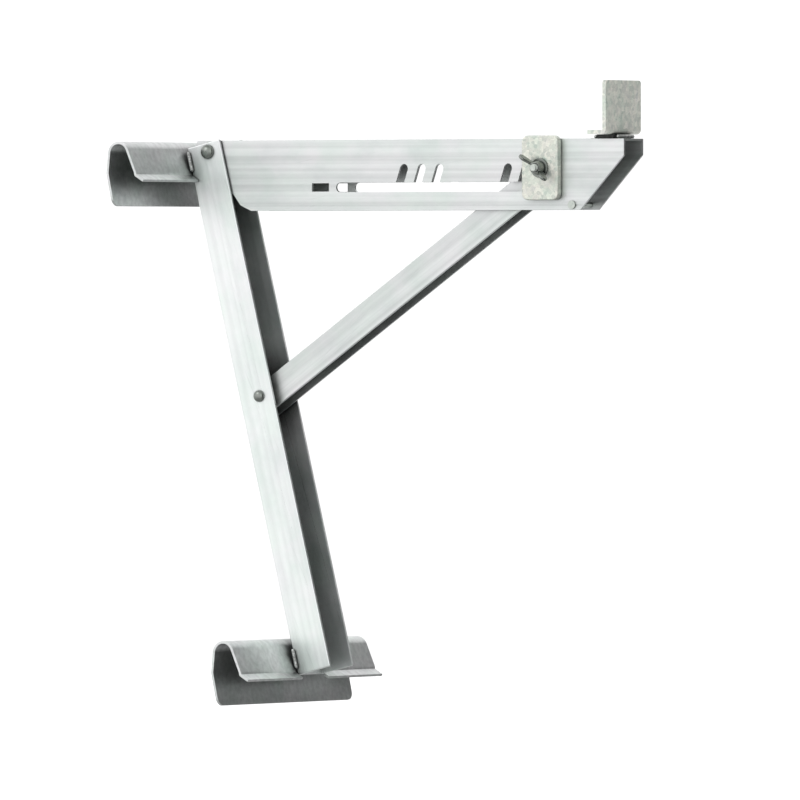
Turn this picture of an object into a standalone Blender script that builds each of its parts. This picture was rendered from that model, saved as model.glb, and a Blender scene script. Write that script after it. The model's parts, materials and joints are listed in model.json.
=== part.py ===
"""Ladder jack: a plank bracket that hooks over two ladder rungs. Metres, +Z up.

The origin is the axis of the upper rung, where the upper hook's arc is centred, and Y = 0 is the
bracket's middle plane. +X points away from the ladder, along the level arm.
"""

from math import asin, atan2, cos, degrees, hypot, pi, radians, sin, sqrt, tan

import bmesh
import bpy

# Clearances
GAP = 0.0003              # between faces that touch on the real bracket
FEATHER = 0.002           # how far a cutter reaches past the face it opens

# Leg: a channel open towards the arm, parallel to the ladder
LADDER_RISE_PER_RUN = 4.0
LEG_WIDTH = 0.054
LEG_DEPTH = 0.047
LEG_WALL = 0.003
LEG_EDGE = 0.0015
PIVOT_SETBACK = 0.028     # from the web's back face to both pivots
LEG_ABOVE_PIVOT = 0.011
LEG_PAST_LOWER_HOOK = 0.0075

# Hooks: one bent section, cut twice
RUNG_SPACING = 0.3048
RUNGS_SPANNED = 2
HOOK_LENGTH = 0.298
HOOK_WALL = 0.003
HOOK_RADIUS = 0.0145      # outer radius of the bend over the rung
HOOK_CENTRE_BACK = 0.0190
HOOK_CENTRE_UP = 0.0265
HOOK_SKIRT_BACK = 0.0425
HOOK_SKIRT_TOP = 0.008
HOOK_SKIRT_BOTTOM = -0.032
HOOK_LIP_OUT = 0.0085
HOOK_LIP_DROP = 0.0120
HOOK_CORNER = 0.010
LIP_PLAY = 0.0015         # beside the leg, where it passes the lip
UPPER_FOOT_DROP = 0.0178  # the upper hook's foot below the arm pivot, along the leg
WELD_RADIUS = 0.0022
WELD_LENGTH = 0.024

# Arm: a channel open downwards
ARM_SIDE_PLAY = 0.00175   # to each of the leg's flanges
ARM_WIDTH = LEG_WIDTH - 2 * LEG_WALL - 2 * ARM_SIDE_PLAY
ARM_TOP = 0.0135          # above the arm pivot
ARM_HEIGHT = 0.0841
ARM_WALL = 0.003
ARM_EDGE = 0.0012
ARM_END_PLAY = 0.003      # to the leg's web
ARM_END_RADIUS = PIVOT_SETBACK - LEG_WALL - ARM_END_PLAY
ARM_REACH = 0.577
ARM_NOSE_HEIGHT = 0.020   # of the square part of the free end
ARM_NOSE_SLOPE = 0.060
HEEL_CUT = ((0.034, -0.052), (0.043, -0.064))
HEEL_END = 0.058          # where the heel meets the arm's bottom edge
GROOVE_ABOVE_EDGE = 0.005
GROOVE_WIDTH = 0.0012
GROOVE_DEPTH = 0.0006

# Adjustment slot and its notches, from the arm pivot
LOCK_RADIUS = 0.00475
SLOT_START = 0.178
SLOT_END = 0.474
SLOT_DROP = 0.043
SLOT_PLAY = 0.0020
SLOT_HEIGHT = 2 * LOCK_RADIUS + SLOT_PLAY
NOTCH_PLAY = 0.0015
NOTCH_WIDTH = 2 * LOCK_RADIUS + NOTCH_PLAY
NOTCH_DROP = 0.021        # a locked bolt's axis below the arm pivot
NOTCH_SLANT = radians(18.5)
NOTCH_PITCH = 0.0247
NOTCHES_PER_SET = 3
NOTCH_SET_ENDS = (0.3224, 0.467)
WINDOW_START = 0.144
WINDOW_END = 0.168
WINDOW_HEIGHT = 0.010

# Brace: a channel open downwards
BRACE_PIVOT_DROP = 0.300  # along the leg, below the arm pivot
BRACE_SIDE_PLAY = 0.00425 # to each of the arm's flanges
BRACE_WIDTH = ARM_WIDTH - 2 * ARM_WALL - 2 * BRACE_SIDE_PLAY
BRACE_ABOVE = 0.015
BRACE_BELOW = 0.020
BRACE_WALL = 0.003
BRACE_TAIL = 0.012
BRACE_NOSE = 0.014
BRACE_EDGE = 0.001
FORK_PLAY = 0.0007        # round the lock bolt in the brace's open end
FORK_FLARE = 0.0064

# Stop at the free end
STOP_WIDTH = 0.080
STOP_WALL = 0.0048
STOP_FACE = 0.563         # outer face, from the arm pivot
STOP_HEIGHT = 0.068       # above the arm, with the packing under its foot
STOP_FOOT = 0.0254
STOP_BEND = 0.0055
STOP_CORNER = 0.004
PACKING_WALL = 0.0045
PACKING_INSET = 0.0015    # from the arm's sides and from the foot's ends
STOP_SINK = 0.0005        # the arm's top is milled down this much under the stop
STOP_SINK_MARGIN = 0.001

# Fasteners
HEAD_TAPER = 0.70         # a domed head's top against its foot
HEAD_ROUNDING = 0.30
ARM_BOLT_RADIUS = 0.005
ARM_BOLT_HEAD_RADIUS = 0.0092
ARM_BOLT_HEAD = 0.0060
ARM_NUT_FLATS = 0.017
ARM_NUT_HEIGHT = 0.0085
ARM_WASHER_RADIUS = 0.012
BRACE_BOLT_RADIUS = 0.004
BRACE_BOLT_HEAD_RADIUS = 0.0075
BRACE_BOLT_HEAD = 0.0050
BRACE_NUT_FLATS = 0.013
BRACE_NUT_HEIGHT = 0.0070
SPACER_RADIUS = 0.008
BOLT_TIP = 0.002
LOCK_HEAD_RADIUS = 0.0105
LOCK_HEAD_HEIGHT = 0.0055
LOCK_WASHER_SIDE = 0.030
LOCK_WASHER_WALL = 0.0025
TIE_RADIUS = 0.003
TIE_HEAD_RADIUS = 0.0050
TIE_HEAD_HEIGHT = 0.0018
TIE_REACH = 0.506
TIE_ABOVE_EDGE = 0.0060

# Clamp and wing nut
CLAMP_WIDTH = 0.050
CLAMP_HEIGHT = 0.076
CLAMP_DEPTH = 0.009
CLAMP_WALL = 0.0025
CLAMP_CORNER = 0.008
NUT_WASHER_RADIUS = 0.0115
NUT_WASHER_WALL = 0.0016
WING_HUB_RADIUS = 0.0085
WING_HUB_HEIGHT = 0.0095
WING_REACH = 0.0235
WING_WALL = 0.0036
WING_TURN = radians(-40)
LOCK_TIP = 0.004

# Fineness
ROUND = 32
SMALL_ROUND = 24
SMOOTH_BELOW = radians(35)

# Places worked out from the above
TILT = atan2(1.0, LADDER_RISE_PER_RUN)
FOOT_BACK = PIVOT_SETBACK + GAP
CENTRE_BACK = FOOT_BACK + HOOK_CENTRE_BACK
CENTRE_UP = HOOK_CENTRE_UP - UPPER_FOOT_DROP
LOWER_FOOT_DROP = UPPER_FOOT_DROP + RUNGS_SPANNED * RUNG_SPACING
LEG_BELOW_PIVOT = LOWER_FOOT_DROP + LEG_PAST_LOWER_HOOK
ARM_BOTTOM = ARM_TOP - ARM_HEIGHT


def along_leg(forward, up):
    """The (x, z) step for a step across and along the tilted leg."""
    return forward * cos(TILT) - up * sin(TILT), forward * sin(TILT) + up * cos(TILT)


def arm_pivot_place():
    x, z = along_leg(-CENTRE_BACK, CENTRE_UP)
    return -x, -z


ARM_PIVOT = arm_pivot_place()
BRACE_STEP = along_leg(0, -BRACE_PIVOT_DROP)
BRACE_PIVOT = (ARM_PIVOT[0] + BRACE_STEP[0], ARM_PIVOT[1] + BRACE_STEP[1])
LOCK = (ARM_PIVOT[0] + NOTCH_SET_ENDS[-1], ARM_PIVOT[1] - NOTCH_DROP)
BRACE_SPAN = hypot(LOCK[0] - BRACE_PIVOT[0], LOCK[1] - BRACE_PIVOT[1])
BRACE_RISE = atan2(LOCK[1] - BRACE_PIVOT[1], LOCK[0] - BRACE_PIVOT[0])


def clear_scene():
    for old in list(bpy.data.objects):
        bpy.data.objects.remove(old, do_unlink=True)


def new_collection(name, hidden=False):
    made = bpy.data.collections.new(name)
    made.hide_render = hidden
    bpy.context.scene.collection.children.link(made)
    return made


def move_to(obj, collection):
    for home in list(obj.users_collection):
        home.objects.unlink(obj)
    collection.objects.link(obj)


def empty_at(name, x, z, turn=0.0):
    """A parent at a pivot. turn lifts its +X end above level."""
    marker = bpy.data.objects.new(name, None)
    marker.location = (x, 0, z)
    marker.rotation_euler = (0, -turn, 0)
    PARTS.objects.link(marker)
    return marker


def as_part(obj, name, parent, finish):
    obj.name = name
    obj.data.name = name
    obj.parent = parent
    obj.data.materials.clear()
    obj.data.materials.append(FINISHES[finish])
    move_to(obj, PARTS)
    obj.data.shade_smooth()
    obj.data.set_sharp_from_angle(angle=SMOOTH_BELOW)
    return obj


def as_tool(obj, name, parent):
    """Marks a shape that only cuts another or is joined to it."""
    obj.name = name
    obj.parent = parent
    obj.hide_render = True
    obj.display_type = "WIRE"
    move_to(obj, CUTTERS)
    return obj


def combine(obj, tool, operation):
    step = obj.modifiers.new(tool.name, "BOOLEAN")
    step.operation = operation
    step.object = tool


def cut(obj, tool):
    combine(obj, tool, "DIFFERENCE")


def join(obj, tool):
    combine(obj, tool, "UNION")


def box(x0, x1, y0, y1, z0, z1):
    bpy.ops.mesh.primitive_cube_add(size=1)
    made = bpy.context.active_object
    centre = ((x0 + x1) / 2, (y0 + y1) / 2, (z0 + z1) / 2)
    side = (x1 - x0, y1 - y0, z1 - z0)
    for vertex in made.data.vertices:
        vertex.co = [middle + at * size for middle, at, size in zip(centre, vertex.co, side)]
    return made


def rod(radius, y0, y1, x=0.0, z=0.0, sides=ROUND):
    """A cylinder across the bracket, from y0 to y1."""
    bpy.ops.mesh.primitive_cylinder_add(vertices=sides, radius=radius, depth=y1 - y0)
    made = bpy.context.active_object
    for vertex in made.data.vertices:
        across, up, along = vertex.co
        vertex.co = (x + across, (y0 + y1) / 2 - along, z + up)
    return made


def arc(x, z, radius, start, end, steps):
    """Points round a circle, angles in degrees from +X towards +Z."""
    turns = [radians(start + (end - start) * i / steps) for i in range(steps + 1)]
    return [(x + radius * cos(turn), z + radius * sin(turn)) for turn in turns]


def plate(points, y0, y1):
    """A flat outline in XZ, filled and as thick as y0 to y1."""
    curve = bpy.data.curves.new("outline", "CURVE")
    curve.dimensions = "2D"
    curve.fill_mode = "BOTH"
    curve.extrude = (y1 - y0) / 2
    line = curve.splines.new("POLY")
    line.points.add(len(points) - 1)
    for point, (x, z) in zip(line.points, points):
        point.co = (x, z, 0, 1)
    line.use_cyclic_u = True
    guide = bpy.data.objects.new("outline", curve)
    guide.rotation_euler = (pi / 2, 0, 0)
    guide.location = (0, (y0 + y1) / 2, 0)
    PARTS.objects.link(guide)
    bpy.context.view_layer.update()
    graph = bpy.context.evaluated_depsgraph_get()
    mesh = bpy.data.meshes.new_from_object(guide.evaluated_get(graph))
    mesh.transform(guide.matrix_world)
    bpy.data.objects.remove(guide)
    tidy_mesh(mesh)
    made = bpy.data.objects.new("plate", mesh)
    PARTS.objects.link(made)
    return made


def tidy_mesh(mesh):
    """Welds the caps on, makes each flat face one face and turns every face out."""
    shape = bmesh.new()
    shape.from_mesh(mesh)
    bmesh.ops.remove_doubles(shape, verts=shape.verts, dist=1e-6)
    bmesh.ops.dissolve_limit(shape, angle_limit=radians(0.5), verts=shape.verts, edges=shape.edges)
    bmesh.ops.recalc_face_normals(shape, faces=shape.faces)
    shape.to_mesh(mesh)
    shape.free()


def bent_sheet(points, width, wall, corner=0.0):
    """A strip bent along points in XZ. The wall grows on the left of the way they run."""
    shape = bmesh.new()
    row = [shape.verts.new((x, -width / 2, z)) for x, z in points]
    edges = [shape.edges.new(pair) for pair in zip(row, row[1:])]
    grown = bmesh.ops.extrude_edge_only(shape, edges=edges)["geom"]
    far = [item for item in grown if isinstance(item, bmesh.types.BMVert)]
    bmesh.ops.translate(shape, verts=far, vec=(0, width, 0))
    if corner:
        last = points[-1]
        ends = [v for v in shape.verts if hypot(v.co.x - last[0], v.co.z - last[1]) < 1e-6]
        bmesh.ops.bevel(shape, geom=ends, offset=corner, offset_type="OFFSET", segments=5,
                        profile=0.5, affect="VERTICES")
    bmesh.ops.recalc_face_normals(shape, faces=shape.faces)
    mesh = bpy.data.meshes.new("sheet")
    shape.to_mesh(mesh)
    shape.free()
    made = bpy.data.objects.new("sheet", mesh)
    PARTS.objects.link(made)
    solid = made.modifiers.new("wall", "SOLIDIFY")
    solid.thickness = wall
    solid.offset = 1 if left_of_run(mesh, points) else -1
    solid.use_even_offset = True
    return made


def left_of_run(mesh, points):
    """True when the faces point to the left of the way the points run."""
    (x0, z0), (x1, z1) = points[0], points[1]
    middle = ((x0 + x1) / 2, (z0 + z1) / 2)
    near = min(mesh.polygons, key=lambda face: hypot(face.center.x - middle[0],
                                                     face.center.z - middle[1]))
    return near.normal.x * -(z1 - z0) + near.normal.z * (x1 - x0) > 0


def round_edges(obj, width, segments=2):
    bevel = obj.modifiers.new("edges", "BEVEL")
    bevel.width = width
    bevel.segments = segments
    bevel.limit_method = "ANGLE"
    bevel.angle_limit = radians(40)


def hexagon(flats, y0, y1, x=0.0, z=0.0):
    return rod(flats / sqrt(3), y0, y1, x, z, sides=6)


def ring(name, outer, inner, y0, y1, parent, finish, sides=ROUND):
    made = as_part(rod(outer, y0, y1, sides=sides), name, parent, finish)
    hole = as_tool(rod(inner, y0 - FEATHER, y1 + FEATHER, sides=sides), name + "_hole", parent)
    cut(made, hole)
    return made


def domed_head(radius, height, seat, side):
    """A round bolt head that stands on y = seat and rises towards side."""
    head = rod(radius, min(seat, seat + side * height), max(seat, seat + side * height))
    for vertex in head.data.vertices:
        if (vertex.co.y - seat) * side > height / 2:
            vertex.co.x *= HEAD_TAPER
            vertex.co.z *= HEAD_TAPER
    round_edges(head, height * HEAD_ROUNDING, 2)
    return head


def pivot_bolt(name, radius, head_radius, head, grip, nut, parent):
    """A round-headed bolt through the leg, its head on the -Y side."""
    shank_end = grip + GAP + nut + BOLT_TIP
    bolt = as_part(rod(radius, -grip - GAP - head / 2, shank_end, sides=SMALL_ROUND), name, parent,
                   "zinc")
    join(bolt, as_tool(domed_head(head_radius, head, -grip - GAP, -1), name + "_head", parent))
    return bolt


def hex_nut(name, radius, flats, height, grip, parent):
    nut = as_part(hexagon(flats, grip + GAP, grip + GAP + height), name, parent, "zinc")
    round_edges(nut, height * 0.08, 1)
    bore = as_tool(rod(radius + GAP, grip - FEATHER, grip + height + FEATHER, sides=SMALL_ROUND),
                   name + "_bore", parent)
    cut(nut, bore)
    return nut


def make_leg(frame):
    half = LEG_WIDTH / 2
    back = -PIVOT_SETBACK
    leg = as_part(box(back, back + LEG_DEPTH, -half, half, -LEG_BELOW_PIVOT, LEG_ABOVE_PIVOT),
                  "leg_channel", frame, "aluminium")
    round_edges(leg, LEG_EDGE)
    inside = box(back + LEG_WALL, back + LEG_DEPTH + FEATHER, -half + LEG_WALL, half - LEG_WALL,
                 -LEG_BELOW_PIVOT - FEATHER, LEG_ABOVE_PIVOT + FEATHER)
    cut(leg, as_tool(inside, "leg_inside", frame))
    for name, radius, drop in (("arm_bolt_hole", ARM_BOLT_RADIUS, 0.0),
                               ("brace_bolt_hole", BRACE_BOLT_RADIUS, BRACE_PIVOT_DROP)):
        hole = rod(radius + GAP, -half - FEATHER, half + FEATHER, z=-drop, sides=SMALL_ROUND)
        cut(leg, as_tool(hole, name, frame))
    return leg


def hook_outline():
    """The bend's outer face in the leg's frame, from the lip over the rung to the skirt's foot."""
    lip = [(HOOK_LIP_OUT, -HOOK_LIP_DROP), (0.0, -HOOK_LIP_DROP + HOOK_LIP_OUT)]
    centre = (-HOOK_CENTRE_BACK, HOOK_CENTRE_UP)
    front = tangent_turn((0.0, 0.0), centre, HOOK_RADIUS, 1)
    back = tangent_turn((-HOOK_SKIRT_BACK + HOOK_WALL / 2, HOOK_SKIRT_TOP), centre, HOOK_RADIUS, -1)
    bend = arc(*centre, HOOK_RADIUS, front, back, 14)
    skirt = [(-HOOK_SKIRT_BACK + HOOK_WALL / 2, HOOK_SKIRT_TOP), (-HOOK_SKIRT_BACK, HOOK_SKIRT_BOTTOM)]
    return lip + [(0.0, 0.0)] + bend + skirt


def tangent_turn(point, centre, radius, side):
    """Where the line from a point touches the circle, in degrees. side 1 is the +X side."""
    away = hypot(point[0] - centre[0], point[1] - centre[1])
    towards = degrees(atan2(point[1] - centre[1], point[0] - centre[0]))
    turn = towards + side * degrees(pi / 2 - asin(radius / away))
    return turn % 360 if side < 0 else turn


def make_hook(name, drop, frame):
    outline = [(x - FOOT_BACK, z - drop) for x, z in hook_outline()]
    hook = as_part(bent_sheet(outline, HOOK_LENGTH, HOOK_WALL, HOOK_CORNER), name, frame,
                   "aluminium")
    half = LEG_WIDTH / 2 + LIP_PLAY
    passage = box(-FOOT_BACK + GAP / 2, 0, -half, half, -drop - 2 * HOOK_LIP_DROP, -drop)
    cut(hook, as_tool(passage, name + "_passage", frame))
    for side, sign in (("near", -1), ("far", 1)):
        make_weld(name + "_weld_" + side, sign, drop, frame)
    return hook


def make_weld(name, sign, drop, frame):
    """A bead up the corner between the leg's web and the hook."""
    across = sign * (LEG_WIDTH / 2 + GAP + WELD_RADIUS)
    forward = -FOOT_BACK + GAP + WELD_RADIUS
    bpy.ops.mesh.primitive_cylinder_add(vertices=12, radius=WELD_RADIUS, depth=WELD_LENGTH)
    bead = bpy.context.active_object
    for vertex in bead.data.vertices:
        vertex.co.x += forward
        vertex.co.y += across
        vertex.co.z += WELD_LENGTH / 2 - drop
    as_part(bead, name, frame, "weld")
    round_edges(bead, WELD_RADIUS * 0.5, 1)


def arm_outline():
    """The arm's side, from the arm pivot."""
    top_turn = degrees(asin(ARM_TOP / ARM_END_RADIUS))
    heel = HEEL_CUT[0]
    away = hypot(*heel)
    touch = degrees(atan2(heel[1], heel[0]) - pi / 2 + asin(ARM_END_RADIUS / away)) % 360
    end = arc(0, 0, ARM_END_RADIUS, 180 - top_turn, touch, 12)
    nose = [(ARM_REACH - ARM_NOSE_SLOPE, ARM_BOTTOM), (ARM_REACH, ARM_TOP - ARM_NOSE_HEIGHT),
            (ARM_REACH, ARM_TOP)]
    return end + list(HEEL_CUT) + [(HEEL_END, ARM_BOTTOM)] + nose


def notch_tops():
    return [end - i * NOTCH_PITCH for end in NOTCH_SET_ENDS for i in range(NOTCHES_PER_SET)]


def slot_tool():
    y = ARM_WIDTH / 2 + FEATHER
    radius = SLOT_HEIGHT / 2
    left = arc(SLOT_START + radius, -SLOT_DROP, radius, 270, 90, 8)
    right = arc(SLOT_END - radius, -SLOT_DROP, radius, 90, -90, 8)
    return plate(left + right, -y, y)


def notch_tool(x):
    """A slanted notch that opens into the slot, its bolt seat centred on x."""
    y = ARM_WIDTH / 2 + FEATHER
    radius = NOTCH_WIDTH / 2
    lean = degrees(NOTCH_SLANT)
    seat = arc(x, -NOTCH_DROP, radius, -lean, 180 - lean, 8)
    run = SLOT_DROP - NOTCH_DROP
    foot = [(px - run * tan(NOTCH_SLANT), pz - run) for px, pz in (seat[-1], seat[0])]
    return plate(seat + foot, -y, y)


def stop_welds():
    """The X of the beads in front of the stop's upright and behind its packing."""
    step = GAP + WELD_RADIUS
    return STOP_FACE + step, STOP_FACE - STOP_FOOT - step


def make_packing(frame):
    """A flat strip between the arm and the stop's foot."""
    half = ARM_WIDTH / 2 - PACKING_INSET
    floor = ARM_TOP - STOP_SINK + GAP
    strip = box(STOP_FACE - STOP_FOOT + PACKING_INSET, STOP_FACE - PACKING_INSET, -half, half, floor,
                floor + PACKING_WALL)
    as_part(strip, "stop_packing", frame, "packing")
    round_edges(strip, GAP, 1)


def make_arm(frame):
    half = ARM_WIDTH / 2
    arm = as_part(plate(arm_outline(), -half, half), "arm_channel", frame, "aluminium")
    sink_start = stop_welds()[1] - WELD_RADIUS - STOP_SINK_MARGIN
    sink = box(sink_start, ARM_REACH + FEATHER, -half - FEATHER, half + FEATHER,
               ARM_TOP - STOP_SINK, ARM_TOP + FEATHER)
    cut(arm, as_tool(sink, "arm_sink", frame))
    round_edges(arm, ARM_EDGE)
    inside = box(-2 * ARM_END_RADIUS, ARM_REACH + FEATHER, -half + ARM_WALL, half - ARM_WALL,
                 ARM_BOTTOM - FEATHER, ARM_TOP - ARM_WALL)
    cut(arm, as_tool(inside, "arm_inside", frame))
    cut(arm, as_tool(slot_tool(), "arm_slot", frame))
    for number, x in enumerate(notch_tops(), 1):
        cut(arm, as_tool(notch_tool(x), f"arm_notch_{number}", frame))
    low = -SLOT_DROP - WINDOW_HEIGHT / 2
    window = box(WINDOW_START, WINDOW_END, -half - FEATHER, half + FEATHER, low, low + WINDOW_HEIGHT)
    cut(arm, as_tool(window, "arm_window", frame))
    hole = rod(ARM_BOLT_RADIUS + GAP, -half - FEATHER, half + FEATHER, sides=SMALL_ROUND)
    cut(arm, as_tool(hole, "arm_pivot_hole", frame))
    line = ARM_BOTTOM + GROOVE_ABOVE_EDGE
    for side, y0 in (("near", -half - FEATHER), ("far", half - GROOVE_DEPTH)):
        groove = box(-2 * ARM_END_RADIUS, ARM_REACH, y0, y0 + GROOVE_DEPTH + FEATHER, line,
                     line + GROOVE_WIDTH)
        cut(arm, as_tool(groove, "arm_groove_" + side, frame))
    tie = rod(TIE_RADIUS + GAP, -half - FEATHER, half + FEATHER, TIE_REACH,
              ARM_BOTTOM + TIE_ABOVE_EDGE, sides=SMALL_ROUND)
    cut(arm, as_tool(tie, "arm_tie_hole", frame))
    return arm


def make_tie(frame):
    """A rivet that holds the arm's two sides together."""
    half = ARM_WIDTH / 2 + GAP
    z = ARM_BOTTOM + TIE_ABOVE_EDGE
    rivet = as_part(rod(TIE_RADIUS, -half - TIE_HEAD_HEIGHT / 2, half + TIE_HEAD_HEIGHT / 2,
                        TIE_REACH, z, SMALL_ROUND), "arm_tie_rivet", frame, "zinc")
    for side, y0 in (("near", -half - TIE_HEAD_HEIGHT), ("far", half)):
        head = rod(TIE_HEAD_RADIUS, y0, y0 + TIE_HEAD_HEIGHT, TIE_REACH, z, SMALL_ROUND)
        join(rivet, as_tool(head, "tie_head_" + side, frame))


def make_stop(frame):
    """An angle across the arm's free end, its foot towards the leg."""
    floor = ARM_TOP - STOP_SINK + PACKING_WALL + 2 * GAP
    bend = arc(STOP_FACE - STOP_BEND, floor + STOP_BEND, STOP_BEND, -90, 0, 5)
    line = [(STOP_FACE - STOP_FOOT, floor)] + bend + [(STOP_FACE, ARM_TOP + STOP_HEIGHT)]
    as_part(bent_sheet(line, STOP_WIDTH, STOP_WALL, STOP_CORNER), "stop_plate", frame, "plated")
    reach = ARM_WIDTH / 2 - ARM_WALL
    for name, x in zip(("stop_weld_front", "stop_weld_rear"), stop_welds()):
        bead = rod(WELD_RADIUS, -reach, reach, x, ARM_TOP - STOP_SINK + GAP + WELD_RADIUS, sides=12)
        as_part(bead, name, frame, "weld")
        round_edges(bead, WELD_RADIUS * 0.5, 1)


def brace_outline():
    return [(-BRACE_TAIL, -BRACE_BELOW), (BRACE_SPAN + BRACE_NOSE, -BRACE_BELOW),
            (BRACE_SPAN + BRACE_NOSE, BRACE_ABOVE), (-BRACE_TAIL, BRACE_ABOVE)]


def fork_tool():
    """The brace's open end, wide enough for the lock bolt to leave as the bracket folds."""
    y = BRACE_WIDTH / 2 + FEATHER
    radius = LOCK_RADIUS + FORK_PLAY
    mouth = BRACE_SPAN + BRACE_NOSE + FEATHER
    seat = arc(BRACE_SPAN, 0, radius, 90, 270, 10)
    return plate(seat + [(mouth, -radius), (mouth, radius + FORK_FLARE)], -y, y)


def make_brace(frame):
    half = BRACE_WIDTH / 2
    brace = as_part(plate(brace_outline(), -half, half), "brace_channel", frame, "aluminium")
    round_edges(brace, BRACE_EDGE)
    inside = box(-BRACE_TAIL - FEATHER, BRACE_SPAN + BRACE_NOSE + FEATHER, -half + BRACE_WALL,
                 half - BRACE_WALL, -BRACE_BELOW - FEATHER, BRACE_ABOVE - BRACE_WALL)
    cut(brace, as_tool(inside, "brace_inside", frame))
    hole = rod(BRACE_BOLT_RADIUS + GAP, -half - FEATHER, half + FEATHER, sides=SMALL_ROUND)
    cut(brace, as_tool(hole, "brace_pivot_hole", frame))
    cut(brace, as_tool(fork_tool(), "brace_fork", frame))


def make_pivots(leg_frame, arm_frame, brace_frame):
    grip = LEG_WIDTH / 2
    inner = grip - LEG_WALL
    pivot_bolt("arm_pivot_bolt", ARM_BOLT_RADIUS, ARM_BOLT_HEAD_RADIUS, ARM_BOLT_HEAD, grip,
               ARM_NUT_HEIGHT, leg_frame)
    hex_nut("arm_pivot_nut", ARM_BOLT_RADIUS, ARM_NUT_FLATS, ARM_NUT_HEIGHT, grip, leg_frame)
    for side, sign in (("near", -1), ("far", 1)):
        ends = sorted((sign * (ARM_WIDTH / 2 + GAP), sign * (inner - GAP)))
        ring("arm_pivot_washer_" + side, ARM_WASHER_RADIUS, ARM_BOLT_RADIUS + GAP, *ends,
             arm_frame, "zinc", SMALL_ROUND)
        ends = sorted((sign * (BRACE_WIDTH / 2 + GAP), sign * (inner - GAP)))
        ring("brace_spacer_" + side, SPACER_RADIUS, BRACE_BOLT_RADIUS + GAP, *ends,
             brace_frame, "zinc", SMALL_ROUND)


def make_brace_bolt(frame):
    grip = LEG_WIDTH / 2
    pivot_bolt("brace_pivot_bolt", BRACE_BOLT_RADIUS, BRACE_BOLT_HEAD_RADIUS, BRACE_BOLT_HEAD, grip,
               BRACE_NUT_HEIGHT, frame)
    hex_nut("brace_pivot_nut", BRACE_BOLT_RADIUS, BRACE_NUT_FLATS, BRACE_NUT_HEIGHT, grip, frame)


def lock_stack():
    """The Y of each face outside the arm on the -Y side, from the clamp to the wing nut."""
    clamp_back = -ARM_WIDTH / 2 - GAP
    clamp_front = clamp_back - CLAMP_DEPTH
    washer_back = clamp_front - GAP
    washer_front = washer_back - NUT_WASHER_WALL
    return clamp_back, clamp_front, washer_back, washer_front, washer_front - GAP


def rounded_rectangle(width, height, corner):
    x, z = width / 2 - corner, height / 2 - corner
    outline = []
    for turn, (cx, cz) in zip((0, 90, 180, 270), ((x, z), (-x, z), (-x, -z), (x, -z))):
        outline += arc(cx, cz, corner, turn, turn + 90, 5)
    return outline


def make_lock_bolt(frame):
    """A round-headed bolt across the arm, its head on the +Y side."""
    wing_back = lock_stack()[-1]
    tip = wing_back - WING_HUB_HEIGHT - LOCK_TIP
    washer = ARM_WIDTH / 2 + GAP
    head = washer + LOCK_WASHER_WALL + GAP
    bolt = as_part(rod(LOCK_RADIUS, tip, head + LOCK_HEAD_HEIGHT / 2), "lock_bolt", frame, "zinc")
    round_edges(bolt, 0.0006, 1)
    dome = domed_head(LOCK_HEAD_RADIUS, LOCK_HEAD_HEIGHT, head, 1)
    join(bolt, as_tool(dome, "lock_bolt_head", frame))
    corner = LOCK_WASHER_SIDE / 6
    square = rounded_rectangle(LOCK_WASHER_SIDE, LOCK_WASHER_SIDE, corner)
    plain = as_part(plate(square, washer, washer + LOCK_WASHER_WALL), "lock_washer", frame, "zinc")
    hole = rod(LOCK_RADIUS + GAP, washer - FEATHER, washer + LOCK_WASHER_WALL + FEATHER)
    cut(plain, as_tool(hole, "lock_washer_hole", frame))


def make_clamp(frame):
    """A dished plate that the wing nut pulls against the arm."""
    back, front, washer_back, washer_front, _ = lock_stack()
    shell = plate(rounded_rectangle(CLAMP_WIDTH, CLAMP_HEIGHT, CLAMP_CORNER), front, back)
    clamp = as_part(shell, "clamp_plate", frame, "plated")
    round_edges(clamp, 0.0012)
    hollow = rounded_rectangle(CLAMP_WIDTH - 2 * CLAMP_WALL, CLAMP_HEIGHT - 2 * CLAMP_WALL,
                               CLAMP_CORNER - CLAMP_WALL)
    cut(clamp, as_tool(plate(hollow, front + CLAMP_WALL, back + FEATHER), "clamp_hollow", frame))
    hole = rod(LOCK_RADIUS + GAP, front - FEATHER, back + FEATHER)
    cut(clamp, as_tool(hole, "clamp_hole", frame))
    ring("wing_nut_washer", NUT_WASHER_RADIUS, LOCK_RADIUS + GAP, washer_front, washer_back,
         frame, "zinc", SMALL_ROUND)


def wing_outline():
    """One wing's side: how far out, and how far along the bolt towards its tip."""
    height = WING_HUB_HEIGHT
    reach = WING_REACH
    tip = arc(reach - 0.0055, height + 0.0035, 0.0055, -60, 130, 8)
    root = [(LOCK_RADIUS + 0.0015, height * 0.92), (LOCK_RADIUS + 0.0015, height * 0.15),
            (WING_HUB_RADIUS, height * 0.15)]
    return root + tip


def make_wing_nut(frame):
    """A hub with two wings that lean outwards, its bore clear of the lock bolt."""
    back = lock_stack()[-1]
    hub = rod(WING_HUB_RADIUS, back - WING_HUB_HEIGHT, back, sides=SMALL_ROUND)
    for vertex in hub.data.vertices:
        if vertex.co.y < back - WING_HUB_HEIGHT / 2:
            vertex.co.x *= 0.80
            vertex.co.z *= 0.80
    nut = as_part(hub, "wing_nut", frame, "zinc")
    for number, turn in enumerate((WING_TURN, WING_TURN + pi), 1):
        wing = plate(wing_outline(), -WING_WALL / 2, WING_WALL / 2)
        round_edges(wing, 0.0008, 1)
        for vertex in wing.data.vertices:
            out, across, along = vertex.co
            vertex.co = (out * cos(turn) - across * sin(turn), back - along,
                         out * sin(turn) + across * cos(turn))
        flip_out(wing.data)
        join(nut, as_tool(wing, f"wing_{number}", frame))
    bore = rod(LOCK_RADIUS + GAP, back - WING_HUB_HEIGHT - FEATHER, back + FEATHER)
    cut(nut, as_tool(bore, "wing_nut_bore", frame))


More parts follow.
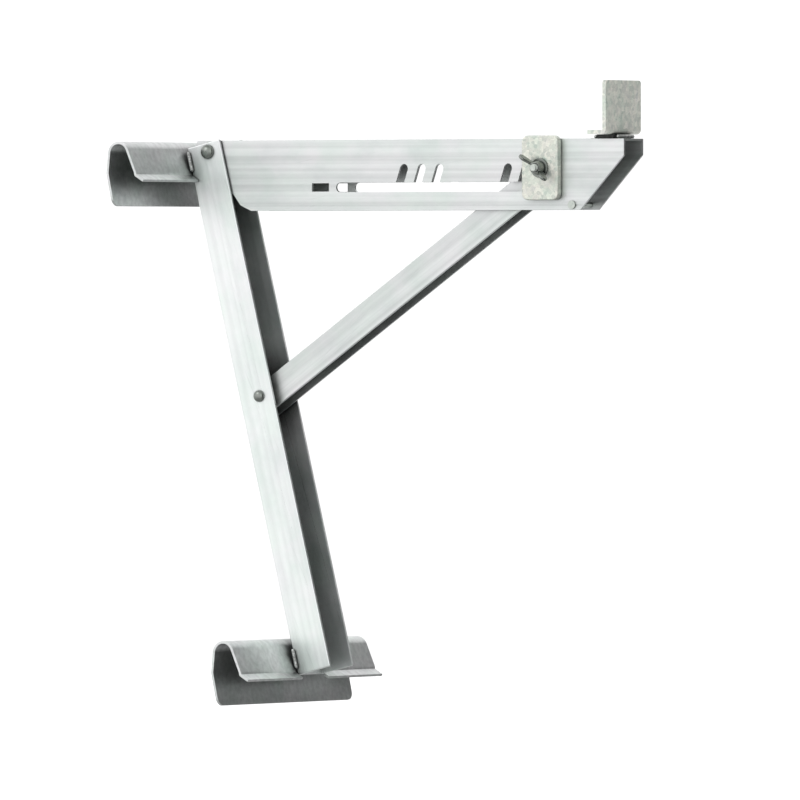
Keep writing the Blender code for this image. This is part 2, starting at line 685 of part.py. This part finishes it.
def flip_out(mesh):
    shape = bmesh.new()
    shape.from_mesh(mesh)
    bmesh.ops.recalc_face_normals(shape, faces=shape.faces)
    shape.to_mesh(mesh)
    shape.free()


def new_finish(name, colour, metallic, roughness):
    made = bpy.data.materials.new(name)
    made.use_nodes = True
    shader = made.node_tree.nodes["Principled BSDF"]
    shader.inputs["Base Color"].default_value = (*colour, 1)
    shader.inputs["Metallic"].default_value = metallic
    shader.inputs["Roughness"].default_value = roughness
    return made


clear_scene()
PARTS = new_collection("ladder_jack")
CUTTERS = new_collection("cutters", hidden=True)
FINISHES = {
    "aluminium": new_finish("mill_aluminium", (0.82, 0.83, 0.84), 1.0, 0.42),
    "plated": new_finish("galvanised_steel", (0.52, 0.53, 0.54), 1.0, 0.55),
    "zinc": new_finish("zinc_plated_steel", (0.60, 0.61, 0.62), 1.0, 0.35),
    "weld": new_finish("weld_bead", (0.55, 0.55, 0.55), 1.0, 0.50),
    "packing": new_finish("black_packing", (0.03, 0.03, 0.03), 0.0, 0.70),
}
LEG_FRAME = empty_at("leg_frame", *ARM_PIVOT, turn=TILT)
ARM_FRAME = empty_at("arm_pivot", *ARM_PIVOT)
BRACE_BOLT_FRAME = empty_at("brace_pivot", *BRACE_PIVOT, turn=TILT)
BRACE_FRAME = empty_at("brace_frame", *BRACE_PIVOT, turn=BRACE_RISE)
LOCK_FRAME = empty_at("lock_axis", *LOCK)

make_leg(LEG_FRAME)
make_hook("upper_hook", UPPER_FOOT_DROP, LEG_FRAME)
make_hook("lower_hook", LOWER_FOOT_DROP, LEG_FRAME)
make_pivots(LEG_FRAME, ARM_FRAME, BRACE_FRAME)
make_brace_bolt(BRACE_BOLT_FRAME)
make_arm(ARM_FRAME)
make_tie(ARM_FRAME)
make_packing(ARM_FRAME)
make_stop(ARM_FRAME)
make_brace(BRACE_FRAME)
make_lock_bolt(LOCK_FRAME)
make_clamp(LOCK_FRAME)
make_wing_nut(LOCK_FRAME)
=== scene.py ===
"""The ladder jack's looks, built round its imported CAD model. Metres, in the CAD model's own frame."""

import json
from math import atan2, cos, pi, radians, sin

import bmesh
import bpy
from mathutils import Matrix, Vector


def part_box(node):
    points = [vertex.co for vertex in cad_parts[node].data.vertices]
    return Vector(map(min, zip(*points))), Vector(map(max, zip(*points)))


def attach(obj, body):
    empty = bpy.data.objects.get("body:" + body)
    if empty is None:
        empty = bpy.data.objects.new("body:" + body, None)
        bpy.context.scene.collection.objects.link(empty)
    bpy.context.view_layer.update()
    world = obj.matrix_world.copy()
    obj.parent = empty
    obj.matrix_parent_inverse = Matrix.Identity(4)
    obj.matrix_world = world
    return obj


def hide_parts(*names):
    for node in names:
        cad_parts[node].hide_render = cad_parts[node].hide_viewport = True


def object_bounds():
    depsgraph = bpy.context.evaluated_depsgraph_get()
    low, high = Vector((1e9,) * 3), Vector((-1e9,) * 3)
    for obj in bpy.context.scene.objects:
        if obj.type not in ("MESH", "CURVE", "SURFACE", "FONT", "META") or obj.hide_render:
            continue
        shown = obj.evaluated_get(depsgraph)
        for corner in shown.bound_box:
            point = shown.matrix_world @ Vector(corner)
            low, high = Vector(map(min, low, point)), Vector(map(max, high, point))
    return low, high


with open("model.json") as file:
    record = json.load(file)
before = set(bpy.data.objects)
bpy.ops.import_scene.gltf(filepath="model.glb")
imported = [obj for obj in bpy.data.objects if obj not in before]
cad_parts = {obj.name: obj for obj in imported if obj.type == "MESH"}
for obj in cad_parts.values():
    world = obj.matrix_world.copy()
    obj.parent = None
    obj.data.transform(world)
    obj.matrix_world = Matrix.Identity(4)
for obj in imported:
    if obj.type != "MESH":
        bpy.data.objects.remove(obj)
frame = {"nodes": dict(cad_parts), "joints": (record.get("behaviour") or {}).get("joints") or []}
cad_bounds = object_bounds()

NODES = frame["nodes"]
JOINTS = {joint["name"]: joint for joint in frame["joints"]}
ARM_PIVOT = Vector(JOINTS["arm_fold"]["pos_m"])
BRACE_PIVOT = Vector(JOINTS["brace_fold"]["pos_m"])
LOCK = Vector(JOINTS["wing_nut_turn"]["pos_m"])
LEG_LEAN = atan2(BRACE_PIVOT.x - ARM_PIVOT.x, ARM_PIVOT.z - BRACE_PIVOT.z)
BRACE_RISE = atan2(LOCK.z - BRACE_PIVOT.z, LOCK.x - BRACE_PIVOT.x)

# Camera, at the photograph's viewing angle
CAMERA_AZIMUTH = radians(32.06)
CAMERA_DISTANCE = 16.98
CAMERA_HEIGHT = -0.152
LENS = 645.8
AIM = Vector((0.3185, -0.027, -0.2919))
# Studio
STUDIO_MIDDLE = (0.25, 0, -0.3)
FLOOR_SIZE = 60
FLOOR_GLOW = 0.5          # so that the floor meets the white world with no horizon
FLOOR_DROP = 0.9          # below the bracket, which hangs

# The world's light by direction: an axis, then (from, to, light at from, light at to) along it
WORLD_TONES = (((0.92, 0.38, 0.0), (0.45, 0.74, 1.16, 0.10)),
               ((0.0, 0.0, 1.0), (-0.55, 0.05, 0.45, 1.0)),
               ((0.0, 0.0, 1.0), (0.50, 0.95, 1.0, 0.62)))

# Rounded edges on the CAD nodes
EDGE_WIDTH = 0.0004
EDGE_FROM = radians(35)
SHARP_FROM = radians(38)
FLAT_FACE_WEIGHT = 95

# Fasteners
SEAT_GAP = 0.0003         # as in the CAD model, between a head and what it seats on
ARM_SHANK = 0.0050
BRACE_SHANK = 0.0040
LOCK_SHANK = 0.00475
PIVOT_THREAD = (0.00125, 0.0006)   # pitch and depth
LOCK_THREAD = (0.0015, 0.0007)
THREAD_STOP = 0.0008      # the plain tip past the last crest
PIVOT_TIP_TAPER = 0.0012
LOCK_TIP_TAPER = 0.0010

# Weld beads
BEAD_FIT = 0.97           # of the CAD rod's radius
BEAD_RINGS = 96
BEAD_SIDES = 20
RIPPLE_PITCH = 0.0021
RIPPLE_DEPTH = 0.16       # of the bead's radius


class Shading:
    """One procedural material, built node by node on its Principled shader."""

    def __init__(self, name, metallic, roughness):
        self.material = bpy.data.materials.new(name)
        self.material.use_nodes = True
        self.tree = self.material.node_tree
        self.shader = self.tree.nodes["Principled BSDF"]
        self.shader.inputs["Metallic"].default_value = metallic
        self.shader.inputs["Roughness"].default_value = roughness
        self.place = self.node("ShaderNodeTexCoord").outputs["Object"]

    def node(self, kind, **settings):
        made = self.tree.nodes.new(kind)
        for name, value in settings.items():
            if hasattr(made, name):
                setattr(made, name, value)
            else:
                self.feed(made.inputs[name.replace("_", " ").title()], value)
        return made

    def feed(self, socket, value):
        if isinstance(value, bpy.types.NodeSocket):
            self.tree.links.new(value, socket)
        else:
            socket.default_value = value

    def stretched(self, lean, along, across):
        """The object's place, turned by lean about Y, then scaled along X and across it."""
        turn = self.node("ShaderNodeMapping")
        self.feed(turn.inputs["Vector"], self.place)
        turn.inputs["Rotation"].default_value = (0, lean, 0)
        scale = self.node("ShaderNodeMapping")
        self.feed(scale.inputs["Vector"], turn.outputs["Vector"])
        scale.inputs["Scale"].default_value = (along, across, across)
        return scale.outputs["Vector"]

    def noise(self, place, scale, detail=4.0, rough=0.55):
        made = self.node("ShaderNodeTexNoise")
        self.feed(made.inputs["Vector"], place)
        made.inputs["Scale"].default_value = scale
        made.inputs["Detail"].default_value = detail
        made.inputs["Roughness"].default_value = rough
        return made.outputs["Fac"]

    def ramp(self, value, *stops):
        """A colour ramp; each stop is (place, grey) or (place, colour)."""
        made = self.node("ShaderNodeValToRGB")
        self.feed(made.inputs["Fac"], value)
        while len(made.color_ramp.elements) < len(stops):
            made.color_ramp.elements.new(0.5)
        for element, (at, tone) in zip(made.color_ramp.elements, stops):
            element.position = at
            element.color = (*tone, 1) if isinstance(tone, tuple) else (tone, tone, tone, 1)
        return made.outputs["Color"]

    def mix(self, first, second, fac=1.0, blend="MULTIPLY"):
        made = self.node("ShaderNodeMix", data_type="RGBA", blend_type=blend)
        self.feed(made.inputs[0], fac)
        self.feed(made.inputs[6], first)
        self.feed(made.inputs[7], second)
        return made.outputs[2]

    def math(self, operation, first, second=0.5, third=0.0):
        made = self.node("ShaderNodeMath", operation=operation)
        for socket, value in zip(made.inputs, (first, second, third)):
            self.feed(socket, value)
        return made.outputs[0]

    def crevice_shade(self, reach, dark, deep=None):
        """Painted shade: grey that falls to dark where other faces crowd round, and to deep in the
        corners.
        """
        found = self.node("ShaderNodeAmbientOcclusion")
        found.samples = 8
        found.inputs["Distance"].default_value = reach
        if deep is None:
            return self.ramp(found.outputs["AO"], (0.25, dark), (0.85, 1.0))
        return self.ramp(found.outputs["AO"], (0.34, deep), (0.46, dark), (0.85, 1.0))

    def bumps(self, *layers):
        """Bump layers, each (height, strength, distance), one on the other."""
        normal = None
        for height, strength, distance in layers:
            made = self.node("ShaderNodeBump")
            self.feed(made.inputs["Height"], height)
            made.inputs["Strength"].default_value = strength
            made.inputs["Distance"].default_value = distance
            if normal is not None:
                self.feed(made.inputs["Normal"], normal)
            normal = made.outputs["Normal"]
        self.feed(self.shader.inputs["Normal"], normal)

    def colour(self, value):
        self.feed(self.shader.inputs["Base Color"], value)

    def roughness(self, value):
        self.feed(self.shader.inputs["Roughness"], value)


def extruded_aluminium(name, lean, tone, streak, inside_shade, inside_deep_shade=None):
    """Mill-finish extrusion: die lines along its length, handling smudges, a few scratches, and painted
    shade inside its channel.
    """
    made = Shading(name, metallic=1.0, roughness=0.4)
    grain = made.noise(made.stretched(lean, 3, 420), 1.0, detail=5)
    lines = made.noise(made.stretched(lean, 0.6, 150), 1.0, detail=2)
    smudge = made.noise(made.stretched(lean, 14, 26), 1.0, detail=6, rough=0.62)
    scratch = made.noise(made.stretched(lean + radians(11), 9, 900), 1.0, detail=3)
    base = made.ramp(smudge, (0.25, (0.79 * tone, 0.83 * tone, 0.82 * tone)),
                     (0.55, (0.93 * tone, 0.95 * tone, 0.945 * tone)), (0.80, (tone, tone, tone)))
    base = made.mix(base, made.ramp(lines, (0.35, streak), (0.65, 1.0)))
    cast = made.noise(made.place, 22, detail=3)
    base = made.mix(base, made.ramp(cast, (0.35, (0.945, 0.985, 0.96)), (0.62, (1.0, 0.99, 1.0))))
    base = made.mix(base, made.ramp(scratch, (0.64, 1.0), (0.70, 0.86)), fac=0.7)
    # painted shade, darkening the colour where the channel's faces crowd round
    base = made.mix(base, made.crevice_shade(0.05, inside_shade, inside_deep_shade))
    made.colour(base)
    made.roughness(made.math("MULTIPLY_ADD", smudge, 0.22, 0.30))
    made.bumps((grain, 0.10, 0.0002), (lines, 0.25, 0.0004), (scratch, 0.05, 0.0002))
    made.shader.inputs["Anisotropic"].default_value = 0.4
    return made.material


def galvanised(name, metallic, tone):
    """Zinc-coated sheet: mottled spangle, dull, with a faint green and yellow cast and painted shade in
    its corners.
    """
    made = Shading(name, metallic=metallic, roughness=0.5)
    spangle = made.node("ShaderNodeTexVoronoi")
    made.feed(spangle.inputs["Vector"], made.place)
    spangle.inputs["Scale"].default_value = 240
    patch = made.noise(made.place, 60, detail=5, rough=0.6)
    fine = made.noise(made.place, 700, detail=3)
    flake = made.ramp(spangle.outputs["Color"], (0.0, (0.50 * tone, 0.54 * tone, 0.52 * tone)),
                      (0.5, (0.66 * tone, 0.67 * tone, 0.64 * tone)),
                      (1.0, (0.80 * tone, 0.80 * tone, 0.76 * tone)))
    cast = made.ramp(patch, (0.30, (0.78, 0.86, 0.80)), (0.55, (0.95, 0.94, 0.90)),
                     (0.75, (0.84, 0.84, 0.86)))
    base = made.mix(flake, cast)
    base = made.mix(base, made.ramp(fine, (0.35, 0.80), (0.60, 1.0)), fac=0.6)
    # painted shade in the corners and where parts meet
    made.colour(made.mix(base, made.crevice_shade(0.012, 0.35)))
    made.roughness(made.ramp(patch, (0.3, 0.42), (0.7, 0.60)))
    made.bumps((fine, 0.12, 0.0002), (spangle.outputs["Distance"], 0.08, 0.0003))
    return made.material


def zinc_plate(name, tone=1.0, polish=0.26):
    """Plated fasteners: semi-bright, with painted shade in the corners, and a fine rolled grain."""
    made = Shading(name, metallic=1.0, roughness=0.3)
    patch = made.noise(made.place, 160, detail=5)
    fine = made.noise(made.place, 1500, detail=2)
    base = made.ramp(patch, (0.30, (0.44 * tone, 0.49 * tone, 0.45 * tone)),
                     (0.70, (0.66 * tone, 0.69 * tone, 0.65 * tone)))
    # painted shade in the corners
    made.colour(made.mix(base, made.crevice_shade(0.006, 0.30)))
    made.roughness(made.ramp(patch, (0.3, polish), (0.7, polish + 0.16)))
    made.bumps((fine, 0.10, 0.0001), (patch, 0.08, 0.0002))
    return made.material


def weld_metal(name):
    """Aluminium weld: bright ripples with painted shade in the hollows between them."""
    made = Shading(name, metallic=1.0, roughness=0.45)
    patch = made.noise(made.place, 320, detail=5)
    base = made.ramp(patch, (0.30, (0.34, 0.35, 0.34)), (0.60, (0.68, 0.69, 0.68)))
    # painted shade in the hollows between the ripples
    made.colour(made.mix(base, made.crevice_shade(0.003, 0.20)))
    made.roughness(made.ramp(patch, (0.3, 0.60), (0.7, 0.35)))
    made.bumps((patch, 0.30, 0.0003))
    return made.material


def packing_strip_painted_shade(name):
    """Black packing, its near-black colour also painting the dark band of shade under the stop's foot:
    dull, faintly dusty, with a fine grain.
    """
    made = Shading(name, metallic=0.0, roughness=0.8)
    dust = made.noise(made.place, 140, detail=5)
    grain = made.noise(made.place, 1800, detail=2)
    # near-black: the packing's own colour and painted shade under the stop's foot
    made.colour(made.ramp(dust, (0.35, (0.012, 0.012, 0.012)), (0.75, (0.045, 0.045, 0.043))))
    made.roughness(made.ramp(dust, (0.3, 0.70), (0.7, 0.90)))
    made.bumps((grain, 0.20, 0.0002))
    return made.material


def dress(names, material):
    """Gives CAD nodes a material and a small rounded edge that catches the light."""
    for name in names:
        node = NODES[name]
        node.data.materials.clear()
        node.data.materials.append(material)
        weld = node.modifiers.new("weld", "WELD")
        weld.merge_threshold = 0.00001
        edge = node.modifiers.new("edge", "BEVEL")
        edge.width = EDGE_WIDTH
        edge.segments = 2
        edge.limit_method = "ANGLE"
        edge.angle_limit = EDGE_FROM
        node.data.shade_smooth()
        flat = node.modifiers.new("flat", "WEIGHTED_NORMAL")
        flat.mode = "FACE_AREA"
        flat.weight = FLAT_FACE_WEIGHT
        flat.thresh = 0.001


def new_piece(name, shape, body, material, replaced=()):
    mesh = bpy.data.meshes.new(name)
    shape.to_mesh(mesh)
    shape.free()
    piece = bpy.data.objects.new(name, mesh)
    bpy.context.scene.collection.objects.link(piece)
    mesh.materials.append(material)
    mesh.shade_smooth()
    mesh.set_sharp_from_angle(angle=SHARP_FROM)
    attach(piece, body)
    if replaced:
        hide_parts(*replaced)
    return piece


def along_axis(start, end):
    """A matrix that takes +Z to the way from start to end, with its origin at start."""
    way = (end - start).normalized()
    return Matrix.Translation(start) @ way.to_track_quat("Z", "Y").to_matrix().to_4x4()


def weld_bead(name, start, end, radius, material, body, node):
    """A run of overlapping ripples from start to end, inside the CAD bead's own space."""
    shape = bmesh.new()
    length = (end - start).length
    rows = []
    for i in range(BEAD_RINGS + 1):
        t = i / BEAD_RINGS
        along = t * length
        phase = (along / RIPPLE_PITCH) % 1.0
        ripple = 1.0 - RIPPLE_DEPTH * (1.0 - phase) ** 2
        cap = min(1.0, (min(t, 1 - t) * length / radius * 1.4) ** 0.5 + 0.02)
        size = radius * ripple * cap * (1 + 0.03 * sin(along * 1900))
        lean = 0.35 * radius
        row = []
        for k in range(BEAD_SIDES):
            turn = 2 * pi * k / BEAD_SIDES
            row.append(shape.verts.new((size * cos(turn), size * sin(turn),
                                        min(max(along + lean * cos(turn) * 0.5, 0), length))))
        rows.append(row)
    for first, second in zip(rows, rows[1:]):
        for k in range(BEAD_SIDES):
            beside = (k + 1) % BEAD_SIDES
            shape.faces.new((first[k], first[beside], second[beside], second[k]))
    shape.faces.new(list(reversed(rows[0])))
    shape.faces.new(rows[-1])
    bmesh.ops.transform(shape, matrix=along_axis(start, end), verts=shape.verts)
    bmesh.ops.recalc_face_normals(shape, faces=shape.faces)
    return new_piece(name, shape, body, material, (node,))


def bead_ends(node, long_axis):
    """The two ends and the radius of a CAD weld rod that runs along long_axis."""
    mesh = NODES[node].data
    spread = [long_axis.dot(v.co) for v in mesh.vertices]
    low, high = min(spread), max(spread)
    centre = sum((v.co for v in mesh.vertices), Vector()) / len(mesh.vertices)
    middle = long_axis.dot(centre)
    radius = max(((v.co - centre) - long_axis * long_axis.dot(v.co - centre)).length
                 for v in mesh.vertices)
    return centre + long_axis * (low - middle), centre + long_axis * (high - middle), radius


def turned(name, profile, place, body, material, replaced, steps=64):
    """A body of revolution about Y. profile is (radius, y) from one end to the other."""
    shape = bmesh.new()
    row = [shape.verts.new((radius, y, 0)) for radius, y in profile]
    for pair in zip(row, row[1:]):
        shape.edges.new(pair)
    bmesh.ops.spin(shape, geom=shape.verts[:] + shape.edges[:], cent=(0, 0, 0), axis=(0, 1, 0),
                   angle=2 * pi, steps=steps, use_merge=True)
    bmesh.ops.remove_doubles(shape, verts=shape.verts, dist=1e-7)
    bmesh.ops.translate(shape, verts=shape.verts, vec=place)
    bmesh.ops.recalc_face_normals(shape, faces=shape.faces)
    return new_piece(name, shape, body, material, replaced)


def dome(radius, seat, height, steps=12):
    """A domed head's half profile, from its rim at seat to its crown, as (radius, y)."""
    side = 0.22 * height
    points = [(radius, seat), (radius, seat + side)]
    for i in range(1, steps + 1):
        turn = pi / 2 * i / steps
        points.append((radius * cos(turn) if i < steps else 0.0,
                       seat + side + (height - side) * sin(turn)))
    return points


def thread_profile(radius, start, end, pitch, depth):
    """Rounded thread crests from start to end, as (radius, y)."""
    step = 1 if end > start else -1
    count = int(abs(end - start) / pitch)
    points = []
    for i in range(count):
        y = start + step * i * pitch
        points += [(radius - depth, y), (radius, y + step * pitch * 0.35),
                   (radius, y + step * pitch * 0.6)]
    return points + [(radius - depth, start + step * count * pitch)]


def pivot_bolt(node, shank, place, material):
    """A domed bolt with a threaded end, in its CAD bolt's own length and width."""
    low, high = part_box(node)
    leg_low, leg_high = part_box("leg_channel")
    head = (high.x - low.x) / 2
    seat = leg_low.y - SEAT_GAP
    crown = dome(head, 0.0, seat - low.y)
    profile = [(r, seat - y) for r, y in reversed(crown)]
    profile += [(shank, seat), (shank, leg_high.y)]
    profile += thread_profile(shank, leg_high.y, high.y - THREAD_STOP, *PIVOT_THREAD)
    profile += [(shank - PIVOT_TIP_TAPER, high.y), (0.0, high.y)]
    turned(node + "_turned", profile, (place.x, 0, place.z), "leg", material,
           (node,))


def lock_bolt(material):
    """The lock's bolt: domed head on the far side, threaded where the wing nut runs."""
    low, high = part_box("lock_bolt")
    head = (high.x - low.x) / 2
    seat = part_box("lock_washer")[1].y + SEAT_GAP
    clamp_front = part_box("clamp_plate")[0].y
    profile = [(0.0, low.y), (LOCK_SHANK - LOCK_TIP_TAPER, low.y)]
    profile += thread_profile(LOCK_SHANK, low.y + THREAD_STOP, clamp_front + 0.004, *LOCK_THREAD)
    profile += [(LOCK_SHANK, clamp_front + 0.006), (LOCK_SHANK, seat)]
    profile += dome(head, seat, high.y - seat)
    turned("lock_bolt_turned", profile, (LOCK.x, 0, LOCK.z), "lock", material,
           ("lock_bolt",))


def cast_wing_nut(material):
    """The wing nut as a casting: its CAD shape, with the edges and the wings' roots blended."""
    shape = bmesh.new()
    shape.from_mesh(NODES["wing_nut"].data)
    piece = new_piece("wing_nut_cast", shape, "wing_nut", material, ("wing_nut",))
    skin = piece.modifiers.new("skin", "REMESH")
    skin.mode = "VOXEL"
    skin.voxel_size = 0.0004
    skin.use_smooth_shade = True
    blend = piece.modifiers.new("blend", "SMOOTH")
    blend.factor = 0.5
    blend.iterations = 10


def build_welds(material):
    up_leg = Vector((-sin(LEG_LEAN), 0, cos(LEG_LEAN)))
    for node in ("upper_hook_weld_near", "upper_hook_weld_far", "lower_hook_weld_near",
                 "lower_hook_weld_far"):
        start, end, radius = bead_ends(node, up_leg)
        weld_bead(node + "_bead", start, end, radius * BEAD_FIT, material, "leg", node)
    for node in ("stop_weld_front", "stop_weld_rear"):
        start, end, radius = bead_ends(node, Vector((0, 1, 0)))
        weld_bead(node + "_bead", start, end, radius * BEAD_FIT, material, "arm", node)


def build_camera():
    data = bpy.data.cameras.new("camera")
    data.lens = LENS
    data.sensor_width = 36
    data.clip_end = 60
    camera = bpy.data.objects.new("camera", data)
    bpy.context.scene.collection.objects.link(camera)
    back = Vector((sin(CAMERA_AZIMUTH), -cos(CAMERA_AZIMUTH), 0)) * CAMERA_DISTANCE
    camera.location = Vector((AIM.x, AIM.y, 0)) + back
    camera.location.z = CAMERA_HEIGHT
    camera.rotation_euler = (AIM - camera.location).to_track_quat("-Z", "Y").to_euler()
    bpy.context.scene.camera = camera


def area_light(name, place, target, size, power):
    data = bpy.data.lights.new(name, "AREA")
    data.size = size
    data.energy = power
    light = bpy.data.objects.new(name, data)
    light.location = place
    light.rotation_euler = (Vector(target) - Vector(place)).to_track_quat("-Z", "Y").to_euler()
    bpy.context.scene.collection.objects.link(light)


def build_world():
    """White for the camera; in reflections, dark to the back right and dimmer below and overhead."""
    world = bpy.data.worlds.new("studio")
    bpy.context.scene.world = world
    world.use_nodes = True
    tree = world.node_tree
    background = tree.nodes["Background"]
    background.inputs["Color"].default_value = (1, 1, 1, 1)
    way = tree.nodes.new("ShaderNodeTexCoord").outputs["Generated"]
    light = None
    for axis, stops in WORLD_TONES:
        dot = tree.nodes.new("ShaderNodeVectorMath")
        dot.operation = "DOT_PRODUCT"
        dot.inputs[1].default_value = axis
        tree.links.new(way, dot.inputs[0])
        tone = tree.nodes.new("ShaderNodeMapRange")
        for socket, value in zip(tone.inputs[1:5], stops):
            socket.default_value = value
        tree.links.new(dot.outputs["Value"], tone.inputs["Value"])
        both = tree.nodes.new("ShaderNodeMath")
        both.operation = "MULTIPLY"
        both.inputs[1].default_value = 1.0
        tree.links.new(tone.outputs["Result"], both.inputs[0])
        if light is not None:
            tree.links.new(light, both.inputs[1])
        light = both.outputs["Value"]
    seen = tree.nodes.new("ShaderNodeMath")
    seen.operation = "MAXIMUM"
    rays = tree.nodes.new("ShaderNodeLightPath")
    tree.links.new(rays.outputs["Is Camera Ray"], seen.inputs[0])
    tree.links.new(light, seen.inputs[1])
    tree.links.new(seen.outputs["Value"], background.inputs["Strength"])


def build_studio():
    low, high = cad_bounds
    floor_z = low[2] - FLOOR_DROP
    bpy.ops.mesh.primitive_plane_add(size=FLOOR_SIZE, location=(0, 0, floor_z))
    floor = bpy.context.active_object
    floor.name = "studio_floor"
    pale = Shading("studio_floor", metallic=0.0, roughness=0.9)
    speck = pale.noise(pale.place, 30, detail=3)
    pale.colour(pale.ramp(speck, (0.3, 0.93), (0.7, 0.96)))
    pale.shader.inputs["Emission Color"].default_value = (1, 1, 1, 1)
    pale.shader.inputs["Emission Strength"].default_value = FLOOR_GLOW
    floor.data.materials.append(pale.material)
    floor.visible_glossy = False
    build_world()
    area_light("key", (-2.2, -3.6, 2.4), STUDIO_MIDDLE, 2.2, 22)
    area_light("fill", (2.6, -3.4, 0.6), STUDIO_MIDDLE, 2.4, 6)
    area_light("top", (0.4, 0.8, 3.4), STUDIO_MIDDLE, 2.6, 7)


# Copies of one mill aluminium, each with its own tone and its own depth of painted shade inside its
# channel
ALUMINIUM_LEG = extruded_aluminium("aluminium_leg", LEG_LEAN - pi / 2, tone=1.0, streak=0.93,
                                   inside_shade=0.40, inside_deep_shade=0.05)
ALUMINIUM_ARM = extruded_aluminium("aluminium_arm", 0.0, tone=0.86, streak=0.84, inside_shade=0.75)
ALUMINIUM_BRACE = extruded_aluminium("aluminium_brace", BRACE_RISE, tone=0.84, streak=0.86,
                                     inside_shade=0.85)
ALUMINIUM_HOOK = extruded_aluminium("aluminium_hook", 0.0, tone=0.84, streak=0.84,
                                    inside_shade=0.40)
GALVANISED_STOP = galvanised("galvanised_stop", metallic=0.30, tone=1.08)
GALVANISED_CLAMP = galvanised("galvanised_clamp", metallic=1.0, tone=1.22)
ZINC = zinc_plate("zinc_plate")
DARK_ZINC = zinc_plate("zinc_plate_dark", tone=0.45, polish=0.16)
WELD = weld_metal("weld_metal")
PACKING_SHADE = packing_strip_painted_shade("black_packing")

dress(["leg_channel"], ALUMINIUM_LEG)
dress(["arm_channel"], ALUMINIUM_ARM)
dress(["brace_channel"], ALUMINIUM_BRACE)
dress(["upper_hook", "lower_hook"], ALUMINIUM_HOOK)
dress(["stop_plate"], GALVANISED_STOP)
dress(["clamp_plate"], GALVANISED_CLAMP)
dress(["stop_packing"], PACKING_SHADE)
dress(["arm_pivot_nut", "brace_pivot_nut", "arm_pivot_washer_near", "arm_pivot_washer_far",
       "brace_spacer_near", "brace_spacer_far", "arm_tie_rivet", "lock_washer"], ZINC)
dress(["wing_nut_washer", "wing_nut"], DARK_ZINC)
cast_wing_nut(DARK_ZINC)
pivot_bolt("arm_pivot_bolt", ARM_SHANK, ARM_PIVOT, DARK_ZINC)
pivot_bolt("brace_pivot_bolt", BRACE_SHANK, BRACE_PIVOT, DARK_ZINC)
lock_bolt(ZINC)
build_welds(WELD)
build_studio()
build_camera()
bpy.context.scene.view_settings.view_transform = "Standard"
